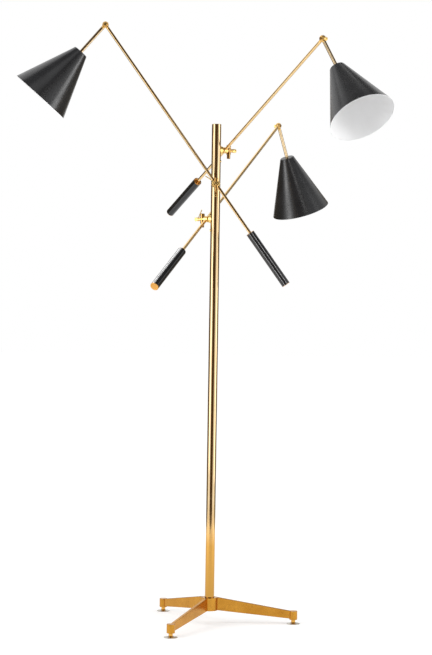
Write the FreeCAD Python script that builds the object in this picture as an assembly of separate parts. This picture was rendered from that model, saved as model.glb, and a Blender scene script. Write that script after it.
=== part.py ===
import FreeCAD, Part
import math
import os

# A tripod floor lamp with three counterweighted arms, all sizes in millimetres.
# The origin is on the floor under the pole's axis.  +Z is up, the middle arm's
# bracket points to -Y, and the upper and lower brackets are 120 degrees round.

V = FreeCAD.Vector

# ---- pole ----
POLE_DIAMETER = 30.0
POLE_WALL = 2.0
POLE_ABOVE_BRACKETS = 82.0
POLE_CAP_THICKNESS = 3.0
POLE_CAP_SPIGOT_LENGTH = 14.0
POLE_CAP_EDGE_RADIUS = 1.2
POLE_SOCKET_DEPTH = 24.0
POLE_STUD_DIAMETER = 12.0
POLE_STUD_PLUG_LENGTH = 22.0
POLE_STUD_PROUD = 1.5
POLE_NUT_HEIGHT = 9.0
POLE_NUT_FLATS = 19.0

# ---- tripod base ----
LEG_ANGLES = {"foot_right": 3.0, "foot_rear_left": 123.0, "foot_front_left": 243.0}
FOOT_RADIUS = 272.0
HUB_DIAMETER = 52.0
HUB_BOTTOM = 44.0
HUB_TOP = 86.0
HUB_FLOOR_THICKNESS = 7.0
HUB_RECESS_DIAMETER = 32.0
HUB_LIP_CHAMFER = 1.2
LEG_ROOT_MARGIN = 2.0
LEG_THICKNESS = 10.0
LEG_END_TOP = 40.5
LEG_END_BOTTOM = 16.0
BOSS_DIAMETER = 26.0
BOSS_TOP = 42.0
BOSS_BOTTOM = 14.0
CASTING_EDGE_RADIUS = 1.0

# ---- levelling feet ----
FOOT_DISC_DIAMETER = 43.0
FOOT_DISC_EDGE = 1.6
FOOT_DISC_RISE = 2.2
FOOT_DISC_CHAMFER = 0.6
FOOT_COLLAR_WIDTH = 2.0
FOOT_COLLAR_HEIGHT = 1.5
FOOT_STUD_DIAMETER = 13.0
FOOT_STUD_TOP = 29.5
FOOT_STUD_CHAMFER = 1.0
FOOT_TRAVEL = 8.0

# ---- brackets on the pole, by arm: direction round the pole, and height ----
BRACKET_ANGLE = {"upper": 30.0, "middle": -90.0, "lower": 150.0}
BRACKET_HEIGHT = {"upper": 1522.0, "middle": 1411.0, "lower": 1300.0}
ROSETTE_DIAMETER = 25.5
ROSETTE_FACE = 19.5
ROSETTE_WRAP = 6.9
ROSETTE_EDGE_RADIUS = 1.0
INNER_NUT_THICKNESS = 7.0
INNER_NUT_HEIGHT = 16.0
SPINDLE_NECK_DIAMETER = 12.0
SPINDLE_NECK_LENGTH = 5.0
SPINDLE_JOURNAL_DIAMETER = 8.0
SPINDLE_KEY_DIAMETER = 8.0
SPINDLE_KEY_FLATS = 6.4
SPINDLE_KEY_SETBACK = 1.0
SPINDLE_THREAD_DIAMETER = 6.0
SPINDLE_THREAD_LENGTH = 15.0
LEAD_BLOCK_DIAMETER = 14.0
LEAD_BLOCK_RISE = 18.5
LEAD_BLOCK_DROP = 13.0
LEAD_BLOCK_TOP_RADIUS = 2.5
LEAD_BORE_DIAMETER = 6.0
GLAND_DIAMETER = 11.0
GLAND_LENGTH = 13.5
GLAND_SPIGOT_DIAMETER = 9.0
GLAND_SPIGOT_LENGTH = 5.0
GLAND_EDGE_RADIUS = 1.5
GROMMET_DROP = 36.0
GROMMET_DIAMETER = 9.0
GROMMET_PROUD = 2.5
GROMMET_NECK_DIAMETER = 7.0
GROMMET_WALL = 1.2
GROMMET_EDGE_RADIUS = 0.9
GROMMET_INSIDE = 0.5

# ---- lever nut that clamps the arm ----
LEVER_NECK_DIAMETER = 9.0
LEVER_NECK_LENGTH = 5.0
LEVER_HEAD_DIAMETER = 12.0
LEVER_HEAD_LENGTH = 14.5
LEVER_BAR_DIAMETER = 3.2
LEVER_BAR_REACH = 41.0
LEVER_BAR_SETBACK = 4.5
LEVER_BAR_ROOT = 1.0
LEVER_HEAD_CHAMFER = 0.8
LEVER_FLUTE_START = 8.5
LEVER_FLUTES = 16
LEVER_BAR_ANGLE = {"upper": 180.0, "middle": 32.0, "lower": 52.0}
FLUTE_RADIUS = 0.7
FLUTE_OUTSIDE = 0.2

# ---- arms, by arm: slope above level, and how far the shade is folded down ----
ARM_SLOPE = {"upper": 28.5, "middle": 54.3, "lower": 34.5}
ELBOW_FOLD = {"upper": 81.5, "middle": 103.0, "lower": 101.5}
KNUCKLE_TURN = {"upper": 2.5, "middle": -1.5, "lower": -6.0}
ARM_REACH = 615.0
ARM_BLOCK_DIAMETER = 20.0
ARM_BLOCK_WIDTH = 15.0
ARM_BLOCK_CHAMFER = 1.0
ROD_DIAMETER = 9.5
ROD_WALL = 1.0
ROD_SOCKET_FLOOR = 5.6

# ---- counterweight handles ----
HANDLE_START = 190.0
HANDLE_END = 392.0
HANDLE_DIAMETER = 27.0
HANDLE_SLEEVE_WALL = 2.0
HANDLE_CAP_RIM = 1.2
HANDLE_CAP_RIM_WIDTH = 3.0
HANDLE_CAP_RIM_CHAMFER = 0.4
HANDLE_CAP_PLUG = 6.0
HANDLE_CAP_DISH = 2.2
HANDLE_END_DISH = 0.5
HANDLE_CAP_SPIGOT = 14.0

# ---- elbow ----
KNUCKLE_DIAMETER = 20.5
KNUCKLE_THICKNESS = 7.0
KNUCKLE_NECK_LENGTH = 4.0
KNUCKLE_SPIGOT_LENGTH = 12.0
ELBOW_SCREW_DIAMETER = 5.0
ELBOW_SCREW_HEAD_DIAMETER = 9.0
ELBOW_SCREW_HEAD_HEIGHT = 2.8
ELBOW_SCREW_SLOT_WIDTH = 1.4
ELBOW_SCREW_SLOT_DEPTH = 1.4
ELBOW_SCREW_EDGE_RADIUS = 0.8
THUMB_NUT_DIAMETER = 11.0
THUMB_NUT_HEIGHT = 8.0
THUMB_NUT_CHAMFER = 0.8
THUMB_NUT_FLUTES = 18

# ---- stem, shade, lampholder and bulb, along the stem from the elbow ----
STEM_DIAMETER = 11.0
STEM_WALL = 2.0
SHADE_START = 116.0
SHADE_LENGTH = 194.0
SHADE_TOP_DIAMETER = 47.0
SHADE_MOUTH_DIAMETER = 199.0
SHADE_WALL = 1.2
SHADE_PLATE_THICKNESS = 1.6
SHADE_CORNER = 1.5
STEM_THREAD_DIAMETER = 9.8
STEM_THREAD_LENGTH = 12.0
HOLDER_CAP_DIAMETER = 28.0
HOLDER_CAP_LENGTH = 22.0
HOLDER_CAP_CHAMFER = 3.0
HOLDER_STEP = 1.0
HOLDER_BODY_DIAMETER = 24.0
HOLDER_LENGTH = 52.0
HOLDER_RING_LENGTH = 5.0
HOLDER_RING_PROUD = 1.5
HOLDER_WIRE_HOLE_DIAMETER = 5.0
BULB_BASE_DIAMETER = 14.0
BULB_BASE_DEPTH = 22.0
BULB_BASE_STANDOUT = 3.0
BULB_GLOBE_DIAMETER = 45.0
BULB_NECK_LENGTH = 10.0
BULB_NECK_DIAMETER = 23.0
BULB_NECK_STEP = 0.5

# ---- clearances ----
RUNNING = 0.05
SLIDING_GAP = 0.1
FIT = 0.03
KNUCKLE_GAP = 0.8
END_CLEARANCE = 0.5

# How far a cutter runs past what it cuts, and how near an edge lies to count as on a face.
OVERRUN = 1.0
NEAR = 0.01

POLE_TOP = max(BRACKET_HEIGHT.values()) + POLE_ABOVE_BRACKETS
POLE_RADIUS = POLE_DIAMETER / 2.0
POLE_BORE_RADIUS = POLE_RADIUS - POLE_WALL
POLE_BOTTOM = HUB_TOP - POLE_SOCKET_DEPTH
HUB_FLOOR_BOTTOM = POLE_BOTTOM - HUB_FLOOR_THICKNESS
SPINDLE_SHOULDER = ROSETTE_FACE + SPINDLE_NECK_LENGTH
ARM_PLANE = SPINDLE_SHOULDER + SLIDING_GAP + ARM_BLOCK_WIDTH / 2.0
LEAD_BLOCK_INNER_FACE = ARM_PLANE + ARM_BLOCK_WIDTH / 2.0 + SLIDING_GAP
LEAD_BLOCK_CENTRE = LEAD_BLOCK_INNER_FACE + LEAD_BLOCK_DIAMETER / 2.0
LEAD_BLOCK_OUTER_FACE = LEAD_BLOCK_INNER_FACE + LEAD_BLOCK_DIAMETER
LEVER_SEAT = LEAD_BLOCK_OUTER_FACE + SLIDING_GAP
KNUCKLE_NECK_START = KNUCKLE_DIAMETER / 2.0 + KNUCKLE_GAP
KNUCKLE_NECK_END = KNUCKLE_NECK_START + KNUCKLE_NECK_LENGTH
HANDLE_BORE_START = HANDLE_START + HANDLE_CAP_RIM + HANDLE_CAP_PLUG
HANDLE_BORE_END = HANDLE_END - HANDLE_CAP_RIM - HANDLE_CAP_PLUG
ARMS = ("upper", "middle", "lower")


def frame(origin, x_axis, y_axis):
    """Placement whose local X and Y are the given directions, at the given origin."""
    x = V(x_axis).normalize()
    y = V(y_axis).normalize()
    z = x.cross(y)
    matrix = FreeCAD.Matrix(x.x, y.x, z.x, origin.x,
                            x.y, y.y, z.y, origin.y,
                            x.z, y.z, z.z, origin.z,
                            0, 0, 0, 1)
    return FreeCAD.Placement(matrix)


def moved(shape, placement):
    """Copy of a shape built in a local frame, carried to its place on the lamp."""
    copy = shape.copy()
    copy.Placement = placement.multiply(shape.Placement)
    return copy


def turned_about(vector, axis, degrees):
    return FreeCAD.Rotation(axis, degrees).multVec(vector)


def rod_x(radius, start, end):
    return Part.makeCylinder(radius, end - start, V(start, 0, 0), V(1, 0, 0))


def rod_y(radius, start, end, x=0.0, z=0.0):
    return Part.makeCylinder(radius, end - start, V(x, start, z), V(0, 1, 0))


def rod_z(radius, bottom, top, x=0.0, y=0.0):
    return Part.makeCylinder(radius, top - bottom, V(x, y, bottom), V(0, 0, 1))


def box(low, high):
    return Part.makeBox(high[0] - low[0], high[1] - low[1], high[2] - low[2], V(*low))


def turned_x(points):
    """Solid of revolution about local X from an outline of (x, radius) points."""
    corners = [V(x, radius, 0) for x, radius in points]
    face = Part.Face(Part.makePolygon(corners + corners[:1]))
    return face.revolve(V(0, 0, 0), V(1, 0, 0), 360)


def hexagon(flats, bottom, top):
    """Six-sided prism round the Z axis."""
    corner_radius = flats / math.sqrt(3.0)
    corners = [V(corner_radius * math.cos(math.radians(60 * i)),
                 corner_radius * math.sin(math.radians(60 * i)), bottom) for i in range(7)]
    return Part.Face(Part.makePolygon(corners)).extrude(V(0, 0, top - bottom))


def chamfered_y(solid, width):
    """Chamfer both end edges of a bar whose axis is local Y."""
    return solid.makeChamfer(width, [edge for edge in solid.Edges if edge.BoundBox.YLength < NEAR])


def fluted(solid, radius, start, end, count):
    """Finger grooves cut along Y round a knob whose axis is local Y."""
    groove_centre = radius + FLUTE_OUTSIDE
    grooves = []
    for i in range(count):
        angle = math.radians(360.0 * i / count)
        grooves.append(rod_y(FLUTE_RADIUS, start, end, groove_centre * math.cos(angle),
                             groove_centre * math.sin(angle)))
    return solid.cut(Part.makeCompound(grooves))


def bracket_frame(arm):
    """X along the level arm towards its shade, Y out from the pole, Z up."""
    angle = math.radians(BRACKET_ANGLE[arm])
    outward = V(math.cos(angle), math.sin(angle), 0)
    along = V(math.sin(angle), -math.cos(angle), 0)
    return frame(V(0, 0, BRACKET_HEIGHT[arm]), along, outward)


def arm_frame(arm):
    """X along the arm towards its shade, Y out from the pole, at the arm's pivot."""
    bracket = bracket_frame(arm)
    slope = math.radians(ARM_SLOPE[arm])
    outward = bracket.Rotation.multVec(V(0, 1, 0))
    along = bracket.Rotation.multVec(V(math.cos(slope), 0, math.sin(slope)))
    pivot = bracket.multVec(V(0, ARM_PLANE, 0))
    return frame(pivot, along, outward)


def knuckle_frame(arm):
    """The arm's frame carried to the elbow and turned a little on the rod."""
    base = arm_frame(arm)
    along = base.Rotation.multVec(V(1, 0, 0))
    hinge = turned_about(base.Rotation.multVec(V(0, 1, 0)), along, KNUCKLE_TURN[arm])
    return frame(base.multVec(V(ARM_REACH, 0, 0)), along, hinge)


def head_frame(arm):
    """X along the shade's stem, Y along the elbow's hinge."""
    elbow = knuckle_frame(arm)
    fold = math.radians(ELBOW_FOLD[arm])
    hinge = elbow.Rotation.multVec(V(0, 1, 0))
    stem = elbow.Rotation.multVec(V(math.cos(fold), 0, -math.sin(fold)))
    return frame(elbow.Base, stem, hinge)


def softened(solid, chosen):
    """Round the cast edges that the test picks out."""
    return solid.makeFillet(CASTING_EDGE_RADIUS, [edge for edge in solid.Edges if chosen(edge)])


def is_rim(edge):
    return edge.BoundBox.ZLength < NEAR and edge.BoundBox.XLength > CASTING_EDGE_RADIUS


def leg(angle):
    """A tapered blade from the hub to its boss, with the boss at its end."""
    root = POLE_RADIUS + LEG_ROOT_MARGIN
    outline = [V(root, 0, HUB_TOP),
               V(HUB_DIAMETER / 2.0, 0, HUB_TOP),
               V(FOOT_RADIUS, 0, LEG_END_TOP),
               V(FOOT_RADIUS, 0, LEG_END_BOTTOM),
               V(HUB_DIAMETER / 2.0, 0, HUB_BOTTOM),
               V(root, 0, HUB_BOTTOM)]
    face = Part.Face(Part.makePolygon(outline + outline[:1]))
    face.translate(V(0, -LEG_THICKNESS / 2.0, 0))
    blade = softened(face.extrude(V(0, LEG_THICKNESS, 0)),
                     lambda edge: edge.BoundBox.XLength > FOOT_RADIUS / 2.0)
    boss = softened(rod_z(BOSS_DIAMETER / 2.0, BOSS_BOTTOM, BOSS_TOP, FOOT_RADIUS), is_rim)
    whole = blade.fuse(boss)
    whole.rotate(V(0, 0, 0), V(0, 0, 1), angle)
    return whole


def base_casting():
    casting = softened(rod_z(HUB_DIAMETER / 2.0, HUB_BOTTOM, HUB_TOP), is_rim)
    for angle in LEG_ANGLES.values():
        casting = casting.fuse(leg(angle))
    socket = rod_z(POLE_RADIUS + FIT, POLE_BOTTOM, HUB_TOP + OVERRUN)
    lip_reach = HUB_LIP_CHAMFER + OVERRUN
    lip = Part.makeCone(POLE_RADIUS, POLE_RADIUS + lip_reach, lip_reach,
                        V(0, 0, HUB_TOP - HUB_LIP_CHAMFER))
    recess = rod_z(HUB_RECESS_DIAMETER / 2.0, HUB_BOTTOM - OVERRUN, HUB_FLOOR_BOTTOM)
    stud_hole = rod_z(POLE_STUD_DIAMETER / 2.0 + FIT, HUB_FLOOR_BOTTOM - OVERRUN,
                      POLE_BOTTOM + OVERRUN)
    casting = casting.cut(Part.makeCompound([socket, recess, stud_hole])).cut(lip)
    bore_top = FOOT_STUD_TOP + FOOT_TRAVEL + END_CLEARANCE
    for angle in LEG_ANGLES.values():
        x = FOOT_RADIUS * math.cos(math.radians(angle))
        y = FOOT_RADIUS * math.sin(math.radians(angle))
        bore = rod_z(FOOT_STUD_DIAMETER / 2.0 + RUNNING, BOSS_BOTTOM - OVERRUN, bore_top, x, y)
        casting = casting.cut(bore)
    return casting


def levelling_foot(angle):
    """A shallow dish on a threaded stud."""
    edge = FOOT_DISC_DIAMETER / 2.0
    stud = FOOT_STUD_DIAMETER / 2.0
    dish_top = FOOT_DISC_EDGE + FOOT_DISC_RISE
    outline = [V(0, 0, 0), V(edge - FOOT_DISC_CHAMFER, 0, 0), V(edge, 0, FOOT_DISC_CHAMFER),
               V(edge, 0, FOOT_DISC_EDGE), V(stud + FOOT_COLLAR_WIDTH, 0, dish_top),
               V(stud, 0, dish_top + FOOT_COLLAR_HEIGHT),
               V(stud, 0, FOOT_STUD_TOP - FOOT_STUD_CHAMFER),
               V(stud - FOOT_STUD_CHAMFER, 0, FOOT_STUD_TOP), V(0, 0, FOOT_STUD_TOP)]
    face = Part.Face(Part.makePolygon(outline + outline[:1]))
    foot = face.revolve(V(0, 0, 0), V(0, 0, 1), 360)
    x = FOOT_RADIUS * math.cos(math.radians(angle))
    y = FOOT_RADIUS * math.sin(math.radians(angle))
    foot.translate(V(x, y, 0))
    return foot


def pole_tube():
    top = POLE_TOP - POLE_CAP_THICKNESS
    bore = rod_z(POLE_BORE_RADIUS, POLE_BOTTOM - OVERRUN, top + OVERRUN)
    tube = rod_z(POLE_RADIUS, POLE_BOTTOM, top).cut(bore)
    holes = []
    for arm in ARMS:
        spindle_hole = rod_y(SPINDLE_JOURNAL_DIAMETER / 2.0 + FIT, 0, POLE_RADIUS + OVERRUN)
        lead_hole = rod_y(GROMMET_NECK_DIAMETER / 2.0 + FIT, 0, POLE_RADIUS + OVERRUN, z=-GROMMET_DROP)
        holes.append(moved(spindle_hole, bracket_frame(arm)))
        holes.append(moved(lead_hole, bracket_frame(arm)))
    return tube.cut(Part.makeCompound(holes))


def pole_cap():
    shoulder = POLE_TOP - POLE_CAP_THICKNESS
    disc = rod_z(POLE_RADIUS, shoulder, POLE_TOP)
    rim = [edge for edge in disc.Edges if abs(edge.BoundBox.ZMin - POLE_TOP) < NEAR]
    disc = disc.makeFillet(POLE_CAP_EDGE_RADIUS, rim)
    spigot = rod_z(POLE_BORE_RADIUS - FIT, shoulder - POLE_CAP_SPIGOT_LENGTH, shoulder)
    return disc.fuse(spigot)


def pole_stud():
    plug = rod_z(POLE_BORE_RADIUS - FIT, POLE_BOTTOM, POLE_BOTTOM + POLE_STUD_PLUG_LENGTH)
    stud_end = HUB_FLOOR_BOTTOM - POLE_NUT_HEIGHT - POLE_STUD_PROUD
    return plug.fuse(rod_z(POLE_STUD_DIAMETER / 2.0, stud_end, POLE_BOTTOM))


def pole_nut():
    bottom = HUB_FLOOR_BOTTOM - POLE_NUT_HEIGHT
    nut = hexagon(POLE_NUT_FLATS, bottom, HUB_FLOOR_BOTTOM)
    return nut.cut(rod_z(POLE_STUD_DIAMETER / 2.0 + FIT, bottom - OVERRUN, HUB_FLOOR_BOTTOM + OVERRUN))


def rosette():
    """Round plate with its back hollowed to sit on the pole."""
    plate = rod_y(ROSETTE_DIAMETER / 2.0, POLE_RADIUS - ROSETTE_WRAP, ROSETTE_FACE)
    rim = [edge for edge in plate.Edges if edge.BoundBox.YMin > ROSETTE_FACE - NEAR]
    plate = plate.makeFillet(ROSETTE_EDGE_RADIUS, rim)
    seat = rod_z(POLE_RADIUS + FIT, -ROSETTE_DIAMETER, ROSETTE_DIAMETER)
    hole = rod_y(SPINDLE_JOURNAL_DIAMETER / 2.0 + FIT, 0, ROSETTE_FACE + OVERRUN)
    return plate.cut(seat).cut(hole)


def inner_nut():
    """Half-round block inside the pole that the spindle screws into."""
    block = rod_z(POLE_BORE_RADIUS - FIT, -INNER_NUT_HEIGHT / 2.0, INNER_NUT_HEIGHT / 2.0)
    keep = box((-POLE_RADIUS, POLE_BORE_RADIUS - INNER_NUT_THICKNESS, -INNER_NUT_HEIGHT),
               (POLE_RADIUS, POLE_RADIUS, INNER_NUT_HEIGHT))
    hole = rod_y(SPINDLE_JOURNAL_DIAMETER / 2.0 + FIT, 0, POLE_RADIUS)
    return block.common(keep).cut(hole)


def flatted(radius, flats, start, end):
    """Round bar along Y with two flats, which keeps what sits on it from turning."""
    bar = rod_y(radius, start, end)
    keep = box((-flats / 2.0, start - OVERRUN, -radius - OVERRUN),
               (flats / 2.0, end + OVERRUN, radius + OVERRUN))
    return bar.common(keep)


def spindle():
    start = POLE_BORE_RADIUS - INNER_NUT_THICKNESS
    thread_end = LEVER_SEAT + SPINDLE_THREAD_LENGTH
    bar = rod_y(SPINDLE_JOURNAL_DIAMETER / 2.0, start, LEAD_BLOCK_INNER_FACE)
    neck = rod_y(SPINDLE_NECK_DIAMETER / 2.0, ROSETTE_FACE, SPINDLE_SHOULDER)
    key_end = LEAD_BLOCK_OUTER_FACE - SPINDLE_KEY_SETBACK
    key = flatted(SPINDLE_KEY_DIAMETER / 2.0, SPINDLE_KEY_FLATS, LEAD_BLOCK_INNER_FACE, key_end)
    thread = rod_y(SPINDLE_THREAD_DIAMETER / 2.0, key_end, thread_end)
    return bar.fuse([neck, key, thread]).removeSplitter()


def lead_block():
    """Upright barrel keyed on the spindle, which the arm is clamped against."""
    radius = LEAD_BLOCK_DIAMETER / 2.0
    barrel = rod_z(radius, -LEAD_BLOCK_DROP, LEAD_BLOCK_RISE, y=LEAD_BLOCK_CENTRE)
    rim = [edge for edge in barrel.Edges if edge.BoundBox.ZMin > LEAD_BLOCK_RISE - NEAR]
    barrel = barrel.makeFillet(LEAD_BLOCK_TOP_RADIUS, rim)
    cross = rod_y(radius, LEAD_BLOCK_INNER_FACE, LEAD_BLOCK_OUTER_FACE)
    key = flatted(SPINDLE_KEY_DIAMETER / 2.0 + FIT, SPINDLE_KEY_FLATS + 2 * FIT,
                  LEAD_BLOCK_INNER_FACE - OVERRUN, LEAD_BLOCK_OUTER_FACE + OVERRUN)
    gland_bore = rod_z(GLAND_SPIGOT_DIAMETER / 2.0 + FIT, -LEAD_BLOCK_DROP - OVERRUN,
                       -LEAD_BLOCK_DROP + GLAND_SPIGOT_LENGTH + END_CLEARANCE,
                       y=LEAD_BLOCK_CENTRE)
    return barrel.fuse(cross).removeSplitter().cut(Part.makeCompound([key, gland_bore]))


def gland():
    """Bored screw under the barrel, where the lead goes in."""
    bottom = -LEAD_BLOCK_DROP - GLAND_LENGTH
    body = rod_z(GLAND_DIAMETER / 2.0, bottom, -LEAD_BLOCK_DROP, y=LEAD_BLOCK_CENTRE)
    rim = [edge for edge in body.Edges if edge.BoundBox.ZMax < bottom + NEAR]
    body = body.makeFillet(GLAND_EDGE_RADIUS, rim)
    spigot = rod_z(GLAND_SPIGOT_DIAMETER / 2.0, -LEAD_BLOCK_DROP,
                   -LEAD_BLOCK_DROP + GLAND_SPIGOT_LENGTH, y=LEAD_BLOCK_CENTRE)
    bore = rod_z(LEAD_BORE_DIAMETER / 2.0, bottom - OVERRUN,
                 -LEAD_BLOCK_DROP + GLAND_SPIGOT_LENGTH + OVERRUN, y=LEAD_BLOCK_CENTRE)
    return body.fuse(spigot).cut(bore)


def grommet():
    """Ring in the pole's wall, where the lead comes out."""
    outside = POLE_RADIUS + GROMMET_PROUD
    neck = rod_y(GROMMET_NECK_DIAMETER / 2.0, POLE_BORE_RADIUS - GROMMET_INSIDE,
                 outside - GROMMET_EDGE_RADIUS, z=-GROMMET_DROP)
    head = rod_y(GROMMET_DIAMETER / 2.0, POLE_RADIUS - POLE_WALL, outside, z=-GROMMET_DROP)
    rim = [edge for edge in head.Edges if edge.BoundBox.YMin > outside - NEAR]
    seat = rod_z(POLE_RADIUS + FIT, -2 * GROMMET_DROP, 0)
    head = head.makeFillet(GROMMET_EDGE_RADIUS, rim).cut(seat)
    bore = rod_y(GROMMET_NECK_DIAMETER / 2.0 - GROMMET_WALL, 0, 2 * POLE_RADIUS, z=-GROMMET_DROP)
    return neck.fuse(head).cut(bore)


def lever_nut(bar_angle):
    """Knurled cap nut with a thin bar brazed into its side."""
    head_start = LEVER_SEAT + LEVER_NECK_LENGTH
    head_end = head_start + LEVER_HEAD_LENGTH
    neck = rod_y(LEVER_NECK_DIAMETER / 2.0, LEVER_SEAT, head_start)
    head = rod_y(LEVER_HEAD_DIAMETER / 2.0, head_start, head_end)
    head = chamfered_y(head, LEVER_HEAD_CHAMFER)
    head = fluted(head, LEVER_HEAD_DIAMETER / 2.0, head_start + LEVER_FLUTE_START, head_end + OVERRUN,
                  LEVER_FLUTES)
    bore = rod_y(SPINDLE_THREAD_DIAMETER / 2.0 + RUNNING, LEVER_SEAT - OVERRUN,
                 LEVER_SEAT + SPINDLE_THREAD_LENGTH + OVERRUN)
    angle = math.radians(bar_angle)
    direction = V(math.cos(angle), 0, math.sin(angle))
    bar_start = SPINDLE_THREAD_DIAMETER / 2.0 + LEVER_BAR_ROOT
    bar_radius = LEVER_BAR_DIAMETER / 2.0
    bar_y = head_start + LEVER_BAR_SETBACK
    bar = Part.makeCylinder(bar_radius, LEVER_BAR_REACH - bar_radius - bar_start,
                            direction * bar_start + V(0, bar_y, 0), direction)
    tip = Part.makeSphere(bar_radius, direction * (LEVER_BAR_REACH - bar_radius) + V(0, bar_y, 0))
    return neck.fuse(head).cut(bore).fuse(bar.fuse(tip)).removeSplitter()


def arm_block():
    """Barrel that turns on the spindle and carries both halves of the arm."""
    half = ARM_BLOCK_WIDTH / 2.0
    barrel = chamfered_y(rod_y(ARM_BLOCK_DIAMETER / 2.0, -half, half), ARM_BLOCK_CHAMFER)
    bore = rod_y(SPINDLE_JOURNAL_DIAMETER / 2.0 + RUNNING, -half - OVERRUN, half + OVERRUN)
    sockets = [rod_x(ROD_DIAMETER / 2.0 + FIT, ROD_SOCKET_FLOOR, ARM_BLOCK_DIAMETER),
               rod_x(ROD_DIAMETER / 2.0 + FIT, -ARM_BLOCK_DIAMETER, -ROD_SOCKET_FLOOR)]
    return barrel.cut(Part.makeCompound([bore] + sockets))


def tube_x(diameter, wall, start, end):
    bore = rod_x(diameter / 2.0 - wall, start - OVERRUN, end + OVERRUN)
    return rod_x(diameter / 2.0, start, end).cut(bore)


def arm_rod():
    return tube_x(ROD_DIAMETER, ROD_WALL, ROD_SOCKET_FLOOR, ARM_REACH - KNUCKLE_NECK_END)


def tail_rod():
    return tube_x(ROD_DIAMETER, ROD_WALL, -HANDLE_BORE_END, -ROD_SOCKET_FLOOR)


def handle_sleeve():
    return tube_x(HANDLE_DIAMETER, HANDLE_SLEEVE_WALL, -HANDLE_END + HANDLE_CAP_RIM,
                  -HANDLE_START - HANDLE_CAP_RIM)


def handle_weight():
    outer = HANDLE_DIAMETER - 2 * HANDLE_SLEEVE_WALL - 2 * FIT
    wall = (outer - ROD_DIAMETER) / 2.0 - FIT
    return tube_x(outer, wall, -HANDLE_BORE_END, -HANDLE_BORE_START)


def handle_cap(face, inward, dish):
    """Plug in the sleeve with a thin rim over its end, and a shallow dish inside the rim."""
    rim = HANDLE_DIAMETER / 2.0
    plug = rim - HANDLE_SLEEVE_WALL - FIT
    floor = plug - HANDLE_CAP_RIM_WIDTH
    depths = [(dish, 0.0), (dish, floor), (0.0, rim - HANDLE_CAP_RIM_WIDTH),
              (0.0, rim - HANDLE_CAP_RIM_CHAMFER), (HANDLE_CAP_RIM_CHAMFER, rim),
              (HANDLE_CAP_RIM, rim), (HANDLE_CAP_RIM, plug),
              (HANDLE_CAP_RIM + HANDLE_CAP_PLUG, plug), (HANDLE_CAP_RIM + HANDLE_CAP_PLUG, 0.0)]
    return turned_x([(face + inward * depth, radius) for depth, radius in depths])


def handle_caps():
    """The pierced cap on the arm's side and the plain one on the far end."""
    near = handle_cap(-HANDLE_START, -1.0, HANDLE_CAP_DISH)
    near = near.cut(rod_x(ROD_DIAMETER / 2.0 + FIT, -HANDLE_END, 0))
    spigot = rod_x(ROD_DIAMETER / 2.0 - ROD_WALL - FIT, -HANDLE_BORE_END - OVERRUN,
                   -HANDLE_BORE_END + HANDLE_CAP_SPIGOT)
    return Part.makeCompound([near, handle_cap(-HANDLE_END, 1.0, HANDLE_END_DISH).fuse(spigot)])


def half_ball():
    """The slice of a ball between Y = 0 and the flat that the nut or the screw seats on."""
    radius = KNUCKLE_DIAMETER / 2.0
    middle = KNUCKLE_THICKNESS / 2.0
    seat_radius = math.sqrt(radius ** 2 - KNUCKLE_THICKNESS ** 2)
    start = V(0, 0, radius)
    end = V(0, KNUCKLE_THICKNESS, seat_radius)
    rim = Part.Arc(start, V(0, middle, math.sqrt(radius ** 2 - middle ** 2)), end).toShape()
    flats = Part.makePolygon([end, V(0, KNUCKLE_THICKNESS, 0), V(0, 0, 0), start])
    face = Part.Face(Part.Wire([rim] + flats.Edges))
    return face.revolve(V(0, 0, 0), V(0, 1, 0), 360)


def knuckle(tube_diameter, tube_wall):
    """Half a ball just clear of Y = 0, with a neck along +X and a spigot for the tube."""
    neck = tube_diameter / 2.0
    lap_start = SLIDING_GAP / 2.0
    lap_end = lap_start + KNUCKLE_THICKNESS
    ball = half_ball()
    ball.translate(V(0, lap_start, 0))
    lap = box((-OVERRUN, lap_start, -neck - OVERRUN), (KNUCKLE_NECK_START, lap_end, neck + OVERRUN))
    tongue = rod_x(neck, 0, KNUCKLE_NECK_START).common(lap)
    collar = rod_x(neck, KNUCKLE_NECK_START, KNUCKLE_NECK_END)
    spigot = rod_x(neck - tube_wall - FIT, KNUCKLE_NECK_END, KNUCKLE_NECK_END + KNUCKLE_SPIGOT_LENGTH)
    hole = rod_y(ELBOW_SCREW_DIAMETER / 2.0 + RUNNING, 0, lap_end + OVERRUN)
    return ball.fuse([tongue, collar, spigot]).removeSplitter().cut(hole)


def arm_knuckle():
    shape = knuckle(ROD_DIAMETER, ROD_WALL)
    shape.rotate(V(0, 0, 0), V(0, 0, 1), 180)
    return shape


def stem_knuckle():
    return knuckle(STEM_DIAMETER, STEM_WALL)


def elbow_screw():
    """Slotted screw from the arm's side of the elbow through to the thumb nut."""
    seat = -KNUCKLE_THICKNESS - SLIDING_GAP / 2.0
    end = -seat + SLIDING_GAP + THUMB_NUT_HEIGHT
    face = seat - ELBOW_SCREW_HEAD_HEIGHT
    head = rod_y(ELBOW_SCREW_HEAD_DIAMETER / 2.0, face, seat)
    rim = [edge for edge in head.Edges if edge.BoundBox.YMax < face + NEAR]
    head = head.makeFillet(ELBOW_SCREW_EDGE_RADIUS, rim)
    half_slot = ELBOW_SCREW_SLOT_WIDTH / 2.0
    slot = box((-ELBOW_SCREW_HEAD_DIAMETER, face - OVERRUN, -half_slot),
               (ELBOW_SCREW_HEAD_DIAMETER, face + ELBOW_SCREW_SLOT_DEPTH, half_slot))
    return head.cut(slot).fuse(rod_y(ELBOW_SCREW_DIAMETER / 2.0, seat, end)).removeSplitter()


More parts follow.
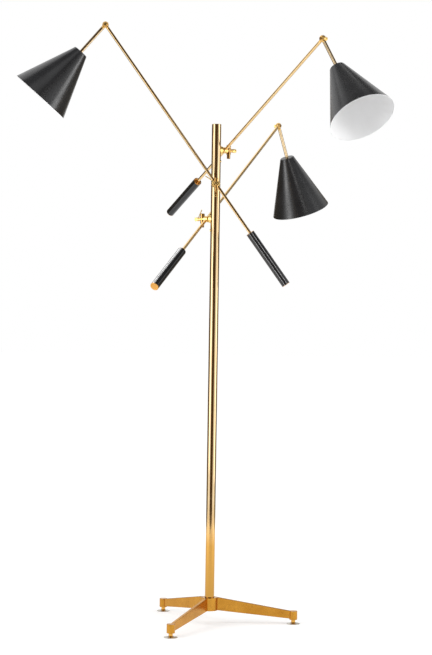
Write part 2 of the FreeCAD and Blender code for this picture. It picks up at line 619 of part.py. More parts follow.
def thumb_nut():
    """Fluted round nut on the outer end of the elbow screw."""
    seat = KNUCKLE_THICKNESS + SLIDING_GAP / 2.0 + SLIDING_GAP
    start = seat - OVERRUN
    end = seat + THUMB_NUT_HEIGHT + OVERRUN
    body = chamfered_y(rod_y(THUMB_NUT_DIAMETER / 2.0, seat, seat + THUMB_NUT_HEIGHT), THUMB_NUT_CHAMFER)
    body = fluted(body, THUMB_NUT_DIAMETER / 2.0, start, end, THUMB_NUT_FLUTES)
    return body.cut(rod_y(ELBOW_SCREW_DIAMETER / 2.0 + RUNNING, start, end))


def stem():
    """Tube from the elbow to the shade, with a thread that passes through the shade's plate."""
    thread_end = SHADE_START + STEM_THREAD_LENGTH
    tube = rod_x(STEM_DIAMETER / 2.0, KNUCKLE_NECK_END, SHADE_START)
    thread = rod_x(STEM_THREAD_DIAMETER / 2.0, SHADE_START - OVERRUN, thread_end)
    bore = rod_x(STEM_DIAMETER / 2.0 - STEM_WALL, KNUCKLE_NECK_END - OVERRUN, thread_end + OVERRUN)
    return tube.fuse(thread).removeSplitter().cut(bore)


def shade():
    """Spun cone with a flat top plate, open at the mouth."""
    top = SHADE_START
    mouth = SHADE_START + SHADE_LENGTH
    top_radius = SHADE_TOP_DIAMETER / 2.0
    mouth_radius = SHADE_MOUTH_DIAMETER / 2.0
    half_angle = math.atan2(mouth_radius - top_radius, SHADE_LENGTH)
    wall = SHADE_WALL / math.cos(half_angle)
    plate = top + SHADE_PLATE_THICKNESS
    inner_top = top_radius - wall + SHADE_PLATE_THICKNESS * math.tan(half_angle)
    hole = STEM_THREAD_DIAMETER / 2.0 + FIT
    return turned_x([(top, hole), (top, top_radius - SHADE_CORNER),
                     (top + SHADE_CORNER, top_radius + SHADE_CORNER * math.tan(half_angle)),
                     (mouth, mouth_radius), (mouth, mouth_radius - wall),
                     (plate, inner_top), (plate, hole)])


def lampholder():
    """Screws onto the stem under the shade's plate and takes the bulb's base."""
    start = SHADE_START + SHADE_PLATE_THICKNESS
    cap_end = start + HOLDER_CAP_LENGTH
    end = start + HOLDER_LENGTH
    ring_start = end - HOLDER_RING_LENGTH
    cap = HOLDER_CAP_DIAMETER / 2.0
    body = HOLDER_BODY_DIAMETER / 2.0
    ring = body + HOLDER_RING_PROUD
    thread = STEM_THREAD_DIAMETER / 2.0 + FIT
    thread_floor = SHADE_START + STEM_THREAD_LENGTH + END_CLEARANCE
    wire_hole = HOLDER_WIRE_HOLE_DIAMETER / 2.0
    socket = BULB_BASE_DIAMETER / 2.0 + FIT
    socket_floor = end - BULB_BASE_DEPTH - END_CLEARANCE
    return turned_x([(start, thread), (start, cap - HOLDER_CAP_CHAMFER), (start + HOLDER_CAP_CHAMFER, cap),
                     (cap_end, cap), (cap_end + HOLDER_STEP, body), (ring_start - HOLDER_STEP, body),
                     (ring_start, ring), (end, ring), (end, socket), (socket_floor, socket),
                     (socket_floor, wire_hole), (thread_floor, wire_hole), (thread_floor, thread)])


def bulb():
    """Round bulb on a small screw base."""
    seat = SHADE_START + SHADE_PLATE_THICKNESS + HOLDER_LENGTH
    base = BULB_BASE_DIAMETER / 2.0
    glass_start = seat + BULB_BASE_STANDOUT
    globe = BULB_GLOBE_DIAMETER / 2.0
    neck_end = glass_start + BULB_NECK_LENGTH
    neck_radius = BULB_NECK_DIAMETER / 2.0
    centre = neck_end + math.sqrt(globe ** 2 - neck_radius ** 2)
    screw = rod_x(base, seat - BULB_BASE_DEPTH, glass_start)
    neck = Part.makeCone(base - BULB_NECK_STEP, neck_radius, BULB_NECK_LENGTH,
                         V(glass_start, 0, 0), V(1, 0, 0))
    return screw.fuse([neck, Part.makeSphere(globe, V(centre, 0, 0))]).removeSplitter()


def on_each_bracket(shape):
    return Part.makeCompound([moved(shape, bracket_frame(arm)) for arm in ARMS])


def build():
    nodes = {"base_casting": base_casting(),
             "pole_tube": pole_tube(),
             "pole_cap": pole_cap(),
             "pole_stud": pole_stud(),
             "pole_nut": pole_nut(),
             "bracket_rosettes": on_each_bracket(rosette()),
             "bracket_spindles": on_each_bracket(spindle()),
             "pole_inner_nuts": on_each_bracket(inner_nut()),
             "lead_blocks": on_each_bracket(lead_block()),
             "lead_glands": on_each_bracket(gland()),
             "pole_grommets": on_each_bracket(grommet())}
    for name, angle in LEG_ANGLES.items():
        nodes[name] = levelling_foot(angle)
    on_arm = {"arm_block": arm_block(), "arm_rod": arm_rod(), "tail_rod": tail_rod(),
              "handle_sleeve": handle_sleeve(), "handle_weight": handle_weight(),
              "handle_caps": handle_caps()}
    on_knuckle = {"arm_knuckle": arm_knuckle(), "elbow_screw": elbow_screw(),
                  "thumb_nut": thumb_nut()}
    on_head = {"stem_knuckle": stem_knuckle(), "stem": stem(), "shade": shade(),
               "lampholder": lampholder(), "bulb": bulb()}
    for arm in ARMS:
        nodes[arm + "_lever_nut"] = moved(lever_nut(LEVER_BAR_ANGLE[arm]), bracket_frame(arm))
        for place, pieces in ((arm_frame, on_arm), (knuckle_frame, on_knuckle), (head_frame, on_head)):
            for name, shape in pieces.items():
                nodes[arm + "_" + name] = moved(shape, place(arm))
    return nodes


os.makedirs("parts", exist_ok=True)
for node, shape in build().items():
    if not shape.isValid():
        raise ValueError(node + " is not a valid shape")
    shape.exportStep("parts/" + node + ".step")
    print(node, len(shape.Solids), round(shape.Volume / 1000.0, 2), "cm3")
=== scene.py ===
"""Looks of the tripod floor lamp: materials, floor, studio light and camera.

Everything is in metres, in the lamp's own frame: the origin is on the floor under the
pole's axis and +Z is up.  The lamp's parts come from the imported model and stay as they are.
"""

import math

import bpy
from mathutils import Matrix, Vector

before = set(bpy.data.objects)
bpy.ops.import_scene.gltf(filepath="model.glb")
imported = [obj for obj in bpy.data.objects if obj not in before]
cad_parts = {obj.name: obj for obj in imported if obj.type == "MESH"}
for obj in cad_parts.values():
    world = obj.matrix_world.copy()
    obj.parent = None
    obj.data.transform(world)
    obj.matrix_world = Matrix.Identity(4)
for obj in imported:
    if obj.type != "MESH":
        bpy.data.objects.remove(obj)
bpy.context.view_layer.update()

ARMS = ("upper", "middle", "lower")
FEET = ("foot_right", "foot_rear_left", "foot_front_left")
UP = Vector((0, 0, 1))

# ---- camera: where it stands, and how it is aimed ----
CAMERA_PLACE = Vector((-0.1383, -5.6583, 1.0265))
CAMERA_HEADING = math.radians(1.479)
CAMERA_PITCH = math.radians(-0.748)
CAMERA_ROLL = math.radians(0.869)
CAMERA_LENS = 96.97
CAMERA_SENSOR = 36.0

# ---- colours: the bright and the worn tint of each brass, then the rest ----
BRASS = {
    "fittings": ((0.86, 0.62, 0.24), (0.78, 0.52, 0.17)),
    # Painted shade: the next pair is brass darkened to brown for the lead blocks, glands and elbow screws,
    # which sit in shadow and mirror the dark room in front.
    "painted_shade": ((0.46, 0.27, 0.09), (0.36, 0.20, 0.06)),
    "elbow": ((0.86, 0.58, 0.23), (0.78, 0.50, 0.17)),
    "cap": ((0.74, 0.39, 0.11), (0.64, 0.32, 0.075)),
    "rod": ((0.85, 0.62, 0.32), (0.76, 0.52, 0.24)),
    "stem": ((0.85, 0.66, 0.41), (0.76, 0.57, 0.33)),
    "pole": ((0.86, 0.65, 0.38), (0.80, 0.58, 0.31)),
    "base": ((0.64, 0.31, 0.046), (0.50, 0.22, 0.028)),
}
TARNISH_SHARE = 0.45
POLE_TARNISH = (0.34, 0.20, 0.07)
BASE_TARNISH = (0.30, 0.15, 0.04)
# painted reflection: the pole's lowest part is tinted darker and warmer, for the tone it takes from what it
# mirrors near the floor
POLE_FOOT_PAINTED_REFLECTION = (0.56, 0.30, 0.068)
FOOT_STUD_BRASS = (0.78, 0.42, 0.09)
NICKEL = ((0.62, 0.58, 0.50), (0.44, 0.41, 0.36))
STEEL = ((0.55, 0.55, 0.56), (0.38, 0.38, 0.39))
MOULDED_BLACK = ((0.018, 0.016, 0.015), (0.035, 0.031, 0.029))
INSIDE_WHITE = ((0.89, 0.89, 0.895), (0.86, 0.86, 0.86))
FROSTED_GLASS = ((0.86, 0.85, 0.82), (0.80, 0.79, 0.76))
BULB_BASE_METAL = (0.62, 0.60, 0.55)
DUST = (0.06, 0.06, 0.06)
HANDLE_BLACK = 0.008
SHADE_BLACK = 0.011
BLACK_DEEP = (1.0, 1.02, 1.12)
BLACK_PALE = (1.4, 1.42, 1.55)

# ---- gloss: the smooth and the smeared roughness of each finish ----
GLOSS = {
    "fittings": (0.30, 0.44),
    "painted_shade": (0.22, 0.36),
    "elbow": (0.42, 0.54),
    "cap": (0.22, 0.34),
    "rod": (0.08, 0.16),
    "stem": (0.12, 0.22),
    "pole": (0.05, 0.11),
    "base": (0.16, 0.30),
    "foot": (0.18, 0.34),
    "steel": (0.28, 0.42),
    "moulded": (0.25, 0.40),
    "handle": (0.10, 0.16),
    "shade": (0.24, 0.30),
    "bulb": (0.35, 0.50),
}
INSIDE_EXTRA_ROUGHNESS = 0.2

# ---- heights and lengths where a finish changes ----
# the pole's painted reflection fades out between these heights
POLE_FOOT_REFLECTION_FADE = (0.25, 0.40)
DISH_TOP_FADE = (0.0042, 0.0050)
BULB_BASE_LENGTH = 0.025
BULB_BASE_EDGE = 0.0005

# ---- studio: angles are round the lamp from the camera's side, plus to the right ----
SOFTBOXES = {
    "left": {"angle": -62.0, "distance": 2.6, "height": 1.75, "size": (1.1, 3.0)},
    "right": {"angle": 78.0, "distance": 2.6, "height": 1.3, "size": (0.9, 2.2)},
    "front": {"angle": 19.0, "distance": 2.2, "height": 2.3, "size": (0.45, 0.45)},
}
PAINT_RADIANCE = 4.8
METAL_RADIANCE = 1.4
TOP_LIGHT = {"height": 3.1, "size": (3.0, 3.0), "radiance": 1.35}
LOW_LIGHT = {"angle": 36.0, "distance": 2.8, "height": 0.5, "size": (1.2, 0.8), "radiance": 5.0}
CARDS = {
    "front": {"angle": 0.0, "size": (3.3, 4.5), "colour": (0.080, 0.048, 0.022)},
    "back_left": {"angle": -127.0, "size": (3.9, 2.2), "colour": (0.13, 0.10, 0.06)},
    "back_right": {"angle": 129.0, "size": (3.8, 2.2), "colour": (0.23, 0.205, 0.165)},
}
CARD_DISTANCE = 2.4
CEILING = {
    "ceiling": {"place": (0.0, -1.1, 3.2), "size": (6.4, 4.2), "colour": (0.085, 0.080, 0.076)},
    "ceiling_front": {"place": (-0.5, -1.45, 3.17), "size": (1.2, 1.2), "colour": (0.9, 0.9, 0.9)},
    "ceiling_back": {"place": (-0.4, 1.1, 3.17), "size": (2.0, 1.9), "colour": (1.3, 1.3, 1.3)},
}

# ---- highlights along the handles: -1 is a handle's left edge as it is seen, 1 its right ----
GLINTS = {
    "middle": {"left": -0.30, "right": 0.35},
    "lower": {"right": -0.55, "left": -0.80},
}
GLINT_DISTANCE = 1.2
GLINT_SIZE = (0.16, 1.0)
GLINT_RADIANCE = 14.0

# ---- floor and background ----
WORLD_FILL = 0.40
FLOOR_SIZE = 60.0
FLOOR_COLOUR = (0.80, 0.80, 0.80)
FLOOR_ROUGHNESS = 0.9
FLOOR_GLOW_NEAR = 0.29
FLOOR_GLOW_FAR = 0.70
FLOOR_GLOW_REACH = (0.6, 2.4)


def mean_point(node):
    """Middle of a node's points, which lies on the axis of a turned piece."""
    points = [vertex.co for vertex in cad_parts[node].data.vertices]
    return sum(points, Vector()) / len(points)


def head_axis(arm):
    """Direction from the elbow towards the shade's mouth."""
    return (mean_point(arm + "_shade") - mean_point(arm + "_stem")).normalized()


def arm_axis(arm):
    """Direction along the arm, from its handle towards its elbow."""
    return (mean_point(arm + "_arm_rod") - mean_point(arm + "_tail_rod")).normalized()


# ---- materials: pattern scales count features per metre, and a relief is its height in metres ----

class Recipe:
    """One material's nodes, written from the object's own coordinates."""

    def __init__(self, name):
        self.material = bpy.data.materials.new(name)
        self.material.use_nodes = True
        self.tree = self.material.node_tree
        self.shader = self.tree.nodes["Principled BSDF"]
        place = self.add("ShaderNodeTexCoord")
        self.point = place.outputs["Object"]
        self.normal = place.outputs["Normal"]

    def add(self, kind, **settings):
        node = self.tree.nodes.new(kind)
        for name, value in settings.items():
            setattr(node, name, value)
        return node

    def feed(self, socket, source):
        """Link an output to a socket, or set the socket to a plain value."""
        if isinstance(source, bpy.types.NodeSocket):
            self.tree.links.new(source, socket)
        else:
            socket.default_value = source

    def colour(self, source):
        self.feed(self.shader.inputs["Base Color"], source)

    def roughness(self, source):
        self.feed(self.shader.inputs["Roughness"], source)

    def make_metal(self):
        self.shader.inputs["Metallic"].default_value = 1.0

    def maths(self, operation, first, second):
        node = self.add("ShaderNodeMath", operation=operation)
        self.feed(node.inputs[0], first)
        self.feed(node.inputs[1], second)
        return node.outputs[0]

    def plus(self, first, second, share):
        """The first pattern with a share of the second added."""
        return self.maths("ADD", first, self.maths("MULTIPLY", second, share))

    def vector(self, operation, first, second=(0, 0, 0)):
        node = self.add("ShaderNodeVectorMath", operation=operation)
        self.feed(node.inputs[0], first)
        self.feed(node.inputs[1], second)
        return node.outputs["Value" if operation in ("DOT_PRODUCT", "LENGTH") else "Vector"]

    def scaled(self, direction, length):
        """A fixed direction times a length that varies over the surface."""
        node = self.add("ShaderNodeVectorMath", operation="SCALE")
        node.inputs[0].default_value = direction
        self.feed(node.inputs["Scale"], length)
        return node.outputs["Vector"]

    def noise(self, scale, detail, roughness=0.55):
        node = self.add("ShaderNodeTexNoise")
        self.feed(node.inputs["Vector"], self.point)
        node.inputs["Scale"].default_value = scale
        node.inputs["Detail"].default_value = detail
        node.inputs["Roughness"].default_value = roughness
        return node.outputs["Fac"]

    def smear(self, scale):
        """Noise of many sizes, as a cloth leaves it."""
        return self.noise(scale, detail=5.0, roughness=0.65)

    def spread(self, value, low, high, from_low=0.3, from_high=0.7):
        """Map a pattern's usual range onto the range that is wanted."""
        node = self.add("ShaderNodeMapRange")
        self.feed(node.inputs["Value"], value)
        ends = {"From Min": from_low, "From Max": from_high, "To Min": low, "To Max": high}
        for name, number in ends.items():
            node.inputs[name].default_value = number
        return node.outputs["Result"]

    def clouds(self, scale, detail=4.0):
        """Slow noise between 0 and 1."""
        return self.spread(self.noise(scale, detail), 0.0, 1.0)

    def mix(self, factor, first, second):
        node = self.add("ShaderNodeMix", data_type="RGBA")
        self.feed(node.inputs["Factor"], factor)
        for socket, source in ((node.inputs[6], first), (node.inputs[7], second)):
            self.feed(socket, source if isinstance(source, bpy.types.NodeSocket) else (*source, 1.0))
        return node.outputs[2]

    def bump(self, height, relief):
        node = self.add("ShaderNodeBump")
        node.inputs["Distance"].default_value = relief
        self.feed(node.inputs["Height"], height)
        self.feed(self.shader.inputs["Normal"], node.outputs["Normal"])

    def along(self, axis):
        """How far each point lies along an axis through the origin."""
        return self.vector("DOT_PRODUCT", self.point, tuple(axis))

    def turning(self, axis, scale):
        """Fine rings left by turning or spinning round an axis."""
        node = self.add("ShaderNodeTexNoise", noise_dimensions="1D")
        self.feed(node.inputs["W"], self.along(axis))
        node.inputs["Scale"].default_value = scale
        node.inputs["Detail"].default_value = 2.0
        return node.outputs["Fac"]

    def turned_finish(self, axis, rings, grain, relief):
        """Turning marks and fine grain in equal parts."""
        grain_half = self.maths("MULTIPLY", self.noise(grain, detail=2.0), 0.5)
        self.bump(self.plus(grain_half, self.turning(axis, rings), 0.5), relief)


def brass(name, kind, axis):
    """Turned brass: two tints in slow clouds, small tarnish spots and turning marks."""
    recipe = Recipe(name)
    bright, worn = BRASS[kind]
    tarnish = tuple(TARNISH_SHARE * channel for channel in worn)
    spots = recipe.spread(recipe.noise(260.0, detail=2.0), 0.0, 0.3, from_low=0.66, from_high=0.8)
    recipe.colour(recipe.mix(spots, recipe.mix(recipe.clouds(9.0), bright, worn), tarnish))
    recipe.roughness(recipe.plus(recipe.spread(recipe.smear(45.0), *GLOSS[kind]), spots, 0.25))
    recipe.make_metal()
    recipe.turned_finish(axis, rings=900.0, grain=1400.0, relief=0.000006)
    return recipe.material


def pole_brass():
    """The pole's brass, darker and warmer towards the base: a painted reflection, the tone the lower pole
    takes from what it mirrors there.
    """
    recipe = Recipe("pole_brass")
    # painted reflection: darker, warmer brass near the base
    painted_reflection_share = recipe.spread(recipe.along(UP), 1.0, 0.0, *POLE_FOOT_REFLECTION_FADE)
    spots = recipe.spread(recipe.noise(240.0, detail=2.0), 0.0, 0.25, from_low=0.67, from_high=0.8)
    upper = recipe.mix(recipe.clouds(7.0), *BRASS["pole"])
    recipe.colour(recipe.mix(spots, recipe.mix(painted_reflection_share, upper, POLE_FOOT_PAINTED_REFLECTION), POLE_TARNISH))
    recipe.roughness(recipe.plus(recipe.spread(recipe.smear(30.0), *GLOSS["pole"]), spots, 0.2))
    recipe.make_metal()
    recipe.turned_finish(UP, rings=1100.0, grain=1500.0, relief=0.000004)
    return recipe.material


def cast_brass():
    """The base's polished casting: faint ripples, with tarnish where a cloth doesn't reach."""
    recipe = Recipe("base_brass")
    spots = recipe.spread(recipe.noise(180.0, detail=3.0), 0.0, 0.6, from_low=0.60, from_high=0.78)
    recipe.colour(recipe.mix(spots, recipe.mix(recipe.clouds(14.0), *BRASS["base"]), BASE_TARNISH))
    recipe.roughness(recipe.plus(recipe.spread(recipe.smear(60.0), *GLOSS["base"]), spots, 0.2))
    recipe.make_metal()
    ripples = recipe.plus(recipe.noise(55.0, detail=2.0), recipe.noise(700.0, detail=2.0), 0.15)
    recipe.bump(ripples, relief=0.0002)
    return recipe.material


def foot_metal():
    """Nickel on the dish of a foot, brass on its stud."""
    recipe = Recipe("foot_metal")
    on_stud = recipe.spread(recipe.along(UP), 0.0, 1.0, *DISH_TOP_FADE)
    nickel = recipe.mix(recipe.clouds(120.0), *NICKEL)
    recipe.colour(recipe.mix(on_stud, nickel, FOOT_STUD_BRASS))
    recipe.roughness(recipe.spread(recipe.noise(300.0, detail=3.0), *GLOSS["foot"]))
    recipe.make_metal()
    recipe.bump(recipe.noise(900.0, detail=2.0), relief=0.00003)
    return recipe.material


def black_colour(recipe, level):
    """Near-black paint with slow clouds and pale specks of dust."""
    deep = tuple(level * share for share in BLACK_DEEP)
    pale = tuple(level * share for share in BLACK_PALE)
    dust = recipe.spread(recipe.noise(900.0, detail=1.0), 0.0, 0.06, from_low=0.72, from_high=0.84)
    return recipe.mix(dust, recipe.mix(recipe.clouds(22.0), deep, pale), DUST)


def handle_paint(arm):
    """Gloss black paint over turned metal, with fine orange peel and dust."""
    recipe = Recipe(arm + "_handle_paint")
    recipe.colour(black_colour(recipe, HANDLE_BLACK))
    recipe.roughness(recipe.spread(recipe.noise(35.0, detail=4.0), *GLOSS["handle"]))
    peel = recipe.plus(recipe.noise(420.0, detail=2.0), recipe.turning(arm_axis(arm), 700.0), 0.1)
    recipe.bump(peel, relief=0.0000012)
    return recipe.material


def inside_shade(recipe, arm):
    """1 on the faces of a shade that look inwards or towards its mouth, else 0."""
    axis = head_axis(arm)
    from_middle = recipe.vector("SUBTRACT", recipe.point, tuple(mean_point(arm + "_shade")))
    run = recipe.vector("DOT_PRODUCT", from_middle, tuple(axis))
    from_axis = recipe.vector("SUBTRACT", from_middle, recipe.scaled(tuple(axis), run))
    facing_out = recipe.vector("DOT_PRODUCT", recipe.normal, recipe.vector("NORMALIZE", from_axis))
    facing_mouth = recipe.vector("DOT_PRODUCT", recipe.normal, tuple(axis))
    return recipe.maths("LESS_THAN", recipe.plus(facing_out, facing_mouth, -0.5), 0.0)


def shade_paint(arm):
    """Satin black outside, and white inside and on the rim, over spun metal."""
    recipe = Recipe(arm + "_shade_paint")
    inside = inside_shade(recipe, arm)
    black = black_colour(recipe, SHADE_BLACK)
    white = recipe.mix(recipe.clouds(16.0, detail=3.0), *INSIDE_WHITE)
    recipe.colour(recipe.mix(inside, black, white))
    satin = recipe.spread(recipe.noise(28.0, detail=4.0), *GLOSS["shade"])
    recipe.roughness(recipe.plus(satin, inside, INSIDE_EXTRA_ROUGHNESS))
    peel = recipe.plus(recipe.noise(480.0, detail=2.0), recipe.turning(head_axis(arm), 420.0), 0.5)
    recipe.bump(peel, relief=0.0000035)
    return recipe.material


def steel():
    """Plain steel of the pieces inside the pole, the hub and the handles."""
    recipe = Recipe("hidden_steel")
    recipe.colour(recipe.mix(recipe.clouds(80.0), *STEEL))
    recipe.roughness(recipe.spread(recipe.noise(400.0, detail=3.0), *GLOSS["steel"]))
    recipe.make_metal()
    recipe.bump(recipe.noise(1200.0, detail=2.0), relief=0.00003)
    return recipe.material


def moulded_black():
    """Moulded black of the lampholders."""
    recipe = Recipe("holder_black")
    recipe.colour(recipe.mix(recipe.clouds(60.0), *MOULDED_BLACK))
    recipe.roughness(recipe.spread(recipe.noise(200.0, detail=3.0), *GLOSS["moulded"]))
    recipe.bump(recipe.noise(800.0, detail=2.0), relief=0.00004)
    return recipe.material


def bulb_glass(arm):
    """Frosted white glass, with a metal screw base at the bulb's start."""
    recipe = Recipe(arm + "_bulb_glass")
    axis = head_axis(arm)
    start = min(axis.dot(vertex.co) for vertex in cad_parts[arm + "_bulb"].data.vertices)
    base_end = start + BULB_BASE_LENGTH
    fade = (base_end - BULB_BASE_EDGE, base_end + BULB_BASE_EDGE)
    on_base = recipe.spread(recipe.along(axis), 1.0, 0.0, *fade)
    glass = recipe.mix(recipe.clouds(150.0, detail=3.0), *FROSTED_GLASS)
    recipe.colour(recipe.mix(on_base, glass, BULB_BASE_METAL))
    recipe.feed(recipe.shader.inputs["Metallic"], on_base)
    recipe.roughness(recipe.spread(recipe.noise(300.0, detail=2.0), *GLOSS["bulb"]))
    recipe.bump(recipe.noise(1500.0, detail=2.0), relief=0.00002)
    return recipe.material


def wear(node, material):
    """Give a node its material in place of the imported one."""
    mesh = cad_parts[node].data
    mesh.materials.clear()
    mesh.materials.append(material)


def dress_lamp():
    fittings = brass("fittings_satin", "fittings", UP)
    # painted shade: darker brass for the pieces that sit in shadow and mirror the dark front
    painted_shade = brass("painted_shade_satin", "painted_shade", UP)
    elbow = brass("elbow_satin", "elbow", UP)
    cap = brass("cap_satin", "cap", UP)
    pole = pole_brass()
    hidden = steel()
    holder = moulded_black()
    foot = foot_metal()
    worn_by = {"base_casting": cast_brass(), "pole_tube": pole, "pole_cap": pole, "pole_stud": hidden,
               "pole_nut": hidden, "pole_inner_nuts": hidden, "pole_grommets": fittings,
               "bracket_rosettes": fittings, "bracket_spindles": fittings,
               "lead_blocks": painted_shade, "lead_glands": painted_shade}
    for node in FEET:
        worn_by[node] = foot
    for arm in ARMS:
        rod = brass(arm + "_rod_brass", "rod", arm_axis(arm))
        pieces = {"lever_nut": fittings, "arm_block": fittings, "arm_rod": rod, "tail_rod": rod,
                  "handle_sleeve": handle_paint(arm), "handle_weight": hidden, "handle_caps": cap,
                  "arm_knuckle": elbow, "elbow_screw": painted_shade, "thumb_nut": fittings,
                  "stem_knuckle": elbow, "stem": brass(arm + "_stem_brass", "stem", head_axis(arm)),
                  "shade": shade_paint(arm), "lampholder": holder, "bulb": bulb_glass(arm)}
        for piece, material in pieces.items():
            worn_by[arm + "_" + piece] = material
    for node, material in worn_by.items():
        wear(node, material)


# ---- studio ----

def facing_lamp(angle, distance, height):
    """Place and turn of a panel that stands round the lamp and looks at its pole."""
    turn = CAMERA_HEADING - math.radians(angle)
    towards = Vector((-math.sin(turn), -math.cos(turn), 0))
    matrix = (-towards).to_track_quat("-Z", "Y").to_matrix().to_4x4()
    matrix.translation = towards * distance + Vector((0, 0, height))
    return matrix


def only_in_reflections(obj):
    obj.visible_camera = False
    obj.visible_diffuse = False
    obj.visible_shadow = False
    obj.visible_transmission = False
    obj.visible_volume_scatter = False


def plane(name, size, matrix, material):
    """Flat panel that isn't part of the lamp."""
    half_width = size[0] / 2
    half_height = size[1] / 2
    corners = [(-half_width, -half_height, 0), (half_width, -half_height, 0),
               (half_width, half_height, 0), (-half_width, half_height, 0)]
    mesh = bpy.data.meshes.new(name)
    mesh.from_pydata(corners, [], [(0, 1, 2, 3)])
    mesh.materials.append(material)
    obj = bpy.data.objects.new(name, mesh)
    bpy.context.scene.collection.objects.link(obj)
    obj.matrix_world = matrix
    return obj


def panel_light(name, size, radiance, matrix):
    """Area light that looks equally bright whatever its size."""
    light = bpy.data.lights.new(name, "AREA")
    light.shape = "RECTANGLE"
    light.size, light.size_y = size
    light.energy = radiance * math.pi * size[0] * size[1]
    obj = bpy.data.objects.new(name, light)
    bpy.context.scene.collection.objects.link(obj)
    obj.matrix_world = matrix
    obj.visible_camera = False
    return obj


def shine_only_on(light, name, objects):
    """Make a light reach the given objects alone."""
    group = bpy.data.collections.get(name) or bpy.data.collections.new(name)
    for obj in objects:
        if obj.name not in group.objects:
            group.objects.link(obj)
    light.light_linking.receiver_collection = group


def is_polished(obj):
    """Polished brass or bare metal, told from satin brass and paint by the material's name."""
    name = obj.data.materials[0].name
    return "brass" in name or "metal" in name


def softboxes(ground):
    """Softboxes round the lamp, dimmer for the polished brass, which they would bleach."""
    nodes = list(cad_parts.values())
    polished = [obj for obj in nodes if is_polished(obj)]
    others = [obj for obj in nodes if not is_polished(obj)] + [ground]
    for kind, radiance, objects in (("metal", METAL_RADIANCE, polished), ("paint", PAINT_RADIANCE, others)):
        for name, box in SOFTBOXES.items():
            light = panel_light("softbox_" + name + "_" + kind, box["size"], radiance,
                                facing_lamp(box["angle"], box["distance"], box["height"]))
            shine_only_on(light, "lit_as_" + kind, objects)


def soft_fill():
    """Wide light overhead, and a low one in front for the shades; nothing mirrors them."""
    top = panel_light("top_light", TOP_LIGHT["size"], TOP_LIGHT["radiance"],
                      Matrix.Translation((0, 0, TOP_LIGHT["height"])))
    low = panel_light("low_light", LOW_LIGHT["size"], LOW_LIGHT["radiance"],
                      facing_lamp(LOW_LIGHT["angle"], LOW_LIGHT["distance"], LOW_LIGHT["height"]))
    for light in (top, low):
        light.visible_glossy = False
    shine_only_on(low, "lit_from_below", [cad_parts[arm + "_shade"] for arm in ARMS])


def normal_across(axis, view, across):
    """Outward normal of a round bar where it is seen between its left edge, -1, and its right, 1."""
    side = view.cross(axis).normalized()
    if side.x < 0:
        side = -side
    front = axis.cross(side)
    if front.dot(view) > 0:
        front = -front
    return side * across + front * math.sqrt(1 - across * across)


def glint(arm, edge, across):
    """Bright strip whose reflection runs along a handle, and which lights that handle alone."""
    node = arm + "_handle_sleeve"
    middle = mean_point(node)
    axis = arm_axis(arm)
    view = (middle - CAMERA_PLACE).normalized()
    normal = normal_across(axis, view, across)
    towards = (view - 2 * view.dot(normal) * normal).normalized()
    along = (axis - axis.dot(towards) * towards).normalized()
    matrix = Matrix((along.cross(towards), along, towards)).transposed().to_4x4()
    matrix.translation = middle + towards * GLINT_DISTANCE
    name = "glint_" + arm + "_" + edge
    light = panel_light(name, GLINT_SIZE, GLINT_RADIANCE, matrix)
    shine_only_on(light, "lit_by_" + name, [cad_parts[node]])


def handle_glints():
    for arm, places in GLINTS.items():
        for edge, across in places.items():
            glint(arm, edge, across)


def card(name, size, matrix, colour):
    """Panel that shows only as a dark band or a bright patch in what is shiny."""
    recipe = Recipe("card_" + name)
    recipe.colour((0, 0, 0, 1))
    recipe.shader.inputs["Specular IOR Level"].default_value = 0.0
    recipe.shader.inputs["Emission Color"].default_value = (*colour, 1)
    recipe.shader.inputs["Emission Strength"].default_value = 1.0
    only_in_reflections(plane("card_" + name, size, matrix, recipe.material))


def dark_room():
    """Dark cards that stand round the lamp, and a dark ceiling with two bright patches."""
    for name, panel in CARDS.items():
        matrix = facing_lamp(panel["angle"], CARD_DISTANCE, panel["size"][1] / 2)
        card(name, panel["size"], matrix, panel["colour"])
    for name, panel in CEILING.items():
        card(name, panel["size"], Matrix.Translation(panel["place"]), panel["colour"])


def seen_directly(tree):
    """1 for a ray from the camera, a reflection or a view through glass, else 0."""
    path = tree.nodes.new("ShaderNodeLightPath")
    total = path.outputs["Is Camera Ray"]
    for name in ("Is Glossy Ray", "Is Transmission Ray"):
        node = tree.nodes.new("ShaderNodeMath")
        node.operation = "MAXIMUM"
        tree.links.new(total, node.inputs[0])
        tree.links.new(path.outputs[name], node.inputs[1])
        total = node.outputs[0]
    return total


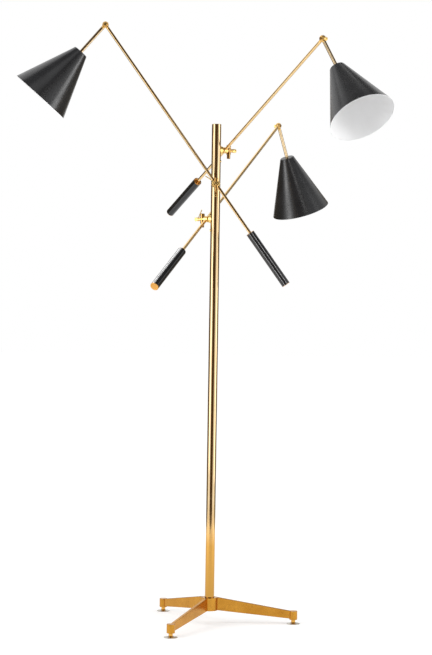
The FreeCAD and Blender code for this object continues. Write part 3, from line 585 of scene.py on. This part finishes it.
def floor():
    """Pale floor that still takes the lamp's shadow."""
    recipe = Recipe("floor_white")
    recipe.colour((*FLOOR_COLOUR, 1))
    recipe.roughness(FLOOR_ROUGHNESS)
    recipe.shader.inputs["Specular IOR Level"].default_value = 0.0
    recipe.shader.inputs["Emission Color"].default_value = (1, 1, 1, 1)
    distance = recipe.vector("LENGTH", recipe.point)
    glow = recipe.spread(distance, FLOOR_GLOW_NEAR, FLOOR_GLOW_FAR, *FLOOR_GLOW_REACH)
    recipe.feed(recipe.shader.inputs["Emission Strength"],
                recipe.maths("MULTIPLY", seen_directly(recipe.tree), glow))
    return plane("floor", (FLOOR_SIZE, FLOOR_SIZE), Matrix.Identity(4), recipe.material)


def white_world():
    """White all round where it is seen or mirrored, and a dimmer fill as light."""
    world = bpy.data.worlds.new("studio")
    bpy.context.scene.world = world
    world.use_nodes = True
    tree = world.node_tree
    background = tree.nodes["Background"]
    background.inputs["Color"].default_value = (1, 1, 1, 1)
    strength = tree.nodes.new("ShaderNodeMapRange")
    tree.links.new(seen_directly(tree), strength.inputs["Value"])
    strength.inputs["To Min"].default_value = WORLD_FILL
    strength.inputs["To Max"].default_value = 1.0
    tree.links.new(strength.outputs["Result"], background.inputs["Strength"])


def camera():
    """Camera at the photograph's place and angle."""
    forward = Vector((math.sin(CAMERA_HEADING) * math.cos(CAMERA_PITCH),
                      math.cos(CAMERA_HEADING) * math.cos(CAMERA_PITCH), math.sin(CAMERA_PITCH)))
    level = Vector((math.cos(CAMERA_HEADING), -math.sin(CAMERA_HEADING), 0))
    lifted = level.cross(forward)
    right = math.cos(CAMERA_ROLL) * level + math.sin(CAMERA_ROLL) * lifted
    up = -math.sin(CAMERA_ROLL) * level + math.cos(CAMERA_ROLL) * lifted
    data = bpy.data.cameras.new("camera")
    data.lens = CAMERA_LENS
    data.sensor_width = CAMERA_SENSOR
    obj = bpy.data.objects.new("camera", data)
    bpy.context.scene.collection.objects.link(obj)
    matrix = Matrix((right, up, -forward)).transposed().to_4x4()
    matrix.translation = CAMERA_PLACE
    obj.matrix_world = matrix
    bpy.context.scene.camera = obj


dress_lamp()
softboxes(floor())
soft_fill()
white_world()
dark_room()
handle_glints()
camera()
bpy.context.scene.view_settings.view_transform = "Standard"
